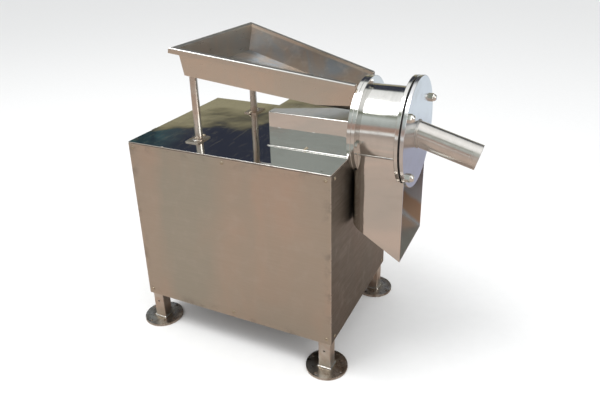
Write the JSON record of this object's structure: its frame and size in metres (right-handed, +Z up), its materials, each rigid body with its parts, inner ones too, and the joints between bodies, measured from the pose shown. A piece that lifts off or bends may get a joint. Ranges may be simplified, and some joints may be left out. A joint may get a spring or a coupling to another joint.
{
  "type": "hammer mill",
  "caption": "Bench-height stainless hammer mill: belt-driven rotor with swinging hammers in a drum, sloping feed tray, side outlet pipe and open discharge chute.",
  "frame": {"origin": "on the floor, in the middle of the four foot discs", "axes": "+X along the mill shaft towards the drum and outlet pipe, +Y to the back, +Z up"},
  "size_m": [0.8137, 0.4498, 0.7374],
  "materials": {
    "satin_panel": "satin",
    "satin_tube": "satin",
    "satin_tray": "satin",
    "mirror_sheet": "mirror polished",
    "turned_steel": "turned and polished",
    "pipe_steel": "polished",
    "nut_steel": "polished",
    "screw_steel": "bright",
    "gasket_rubber": "matte",
    "belt_rubber": "matte",
    "spacer_plastic": "matte",
    "gland_plastic": "matte",
    "bearing_iron": "painted casting",
    "base_steel": "satin paint",
    "ground_steel": "ground",
    "hammer_steel": "hardened",
    "screen_steel": "mill finish",
    "pulley_iron": "machined casting",
    "motor_paint": "semi gloss paint"
  },
  "bodies": {
    "frame": {"back_panel": "satin_panel", "back_plate": "turned_steel", "bearing_base": "base_steel", "bearing_block_left": "bearing_iron", "bearing_block_right": "bearing_iron", "bearing_bolts": "screw_steel", "bearing_cover": "mirror_sheet", "cable_gland": "gland_plastic", "chute": "mirror_sheet", "cover_screws": "screw_steel", "cover_studs": "screw_steel", "drive_belt": "belt_rubber", "drum_gasket": "gasket_rubber", "flange_bolts": "screw_steel", "foot_discs": "satin_tube", "front_panel": "satin_panel", "hopper_post_far": "satin_tube", "hopper_post_near": "satin_tube", "hopper_tray": "satin_tray", "left_panel": "satin_panel", "leg_back_left": "satin_tube", "leg_back_right": "satin_tube", "leg_front_left": "satin_tube", "leg_front_right": "satin_tube", "lower_rails": "satin_tube", "mill_drum": "turned_steel", "motor_body": "motor_paint", "motor_bolts": "screw_steel", "motor_fan_cowl": "motor_paint", "motor_rails": "satin_tube", "motor_terminal_box": "motor_paint", "panel_screws": "screw_steel", "panel_spacers": "spacer_plastic", "post_screws": "screw_steel", "right_panel": "satin_panel", "screen": "screen_steel", "shaft_seal": "gasket_rubber", "top_panel": "mirror_sheet", "upper_rails": "satin_tube"},
    "motor": {"motor_shaft": "ground_steel", "motor_pulley": "pulley_iron"},
    "rotor": {"rotor_shaft": "ground_steel", "rotor_discs": "hammer_steel", "rotor_spacers": "hammer_steel", "rotor_nut": "ground_steel", "hammer_pins": "ground_steel", "pin_collars": "hammer_steel", "rotor_pulley": "pulley_iron", "bearing_races": "ground_steel"},
    "hammer_1": {"hammer_1": "hammer_steel"},
    "hammer_2": {"hammer_2": "hammer_steel"},
    "hammer_3": {"hammer_3": "hammer_steel"},
    "hammer_4": {"hammer_4": "hammer_steel"},
    "cover": {"cover_plate": "turned_steel", "outlet_pipe": "pipe_steel"},
    "nut_1": {"dome_nut_1": "nut_steel"},
    "nut_2": {"dome_nut_2": "nut_steel"},
    "nut_3": {"dome_nut_3": "nut_steel"},
    "nut_4": {"dome_nut_4": "nut_steel"}
  },
  "joints": [
    {"name": "motor_spin", "type": "hinge", "parent": "frame", "child": "motor", "pos_m": [0.155, 0, 0.222], "axis": [1, 0, 0], "continuous": true},
    {"name": "rotor_spin", "type": "hinge", "parent": "frame", "child": "rotor", "pos_m": [0.155, 0, 0.555], "axis": [1, 0, 0], "continuous": true},
    {"name": "hammer_1_swing", "type": "hinge", "parent": "rotor", "child": "hammer_1", "pos_m": [0.303, 0.0297, 0.5847], "axis": [1, 0, 0], "range_deg": [-6, 276]},
    {"name": "hammer_2_swing", "type": "hinge", "parent": "rotor", "child": "hammer_2", "pos_m": [0.335, -0.0297, 0.5847], "axis": [1, 0, 0], "range_deg": [-276, 6]},
    {"name": "hammer_3_swing", "type": "hinge", "parent": "rotor", "child": "hammer_3", "pos_m": [0.303, -0.0297, 0.5253], "axis": [1, 0, 0], "range_deg": [-186, 96]},
    {"name": "hammer_4_swing", "type": "hinge", "parent": "rotor", "child": "hammer_4", "pos_m": [0.335, 0.0297, 0.5253], "axis": [1, 0, 0], "range_deg": [-96, 186]},
    {"name": "cover_slide", "type": "slide", "parent": "frame", "child": "cover", "axis": [1, 0, 0], "range_m": [0, 0.12]},
    {"name": "nut_1_turn", "type": "hinge", "parent": "cover", "child": "nut_1", "pos_m": [0.39, 0.09358, 0.60688], "axis": [1, 0, 0], "continuous": true},
    {"name": "nut_2_turn", "type": "hinge", "parent": "cover", "child": "nut_2", "pos_m": [0.39, -0.08974, 0.61328], "axis": [1, 0, 0], "continuous": true},
    {"name": "nut_3_turn", "type": "hinge", "parent": "cover", "child": "nut_3", "pos_m": [0.39, -0.0716, 0.47548], "axis": [1, 0, 0], "continuous": true},
    {"name": "nut_4_turn", "type": "hinge", "parent": "cover", "child": "nut_4", "pos_m": [0.39, 0.08974, 0.49672], "axis": [1, 0, 0], "continuous": true}
  ],
  "couplings": [
    {"joint": "rotor_spin", "follows": "motor_spin", "ratio": 2.1404}
  ]
}
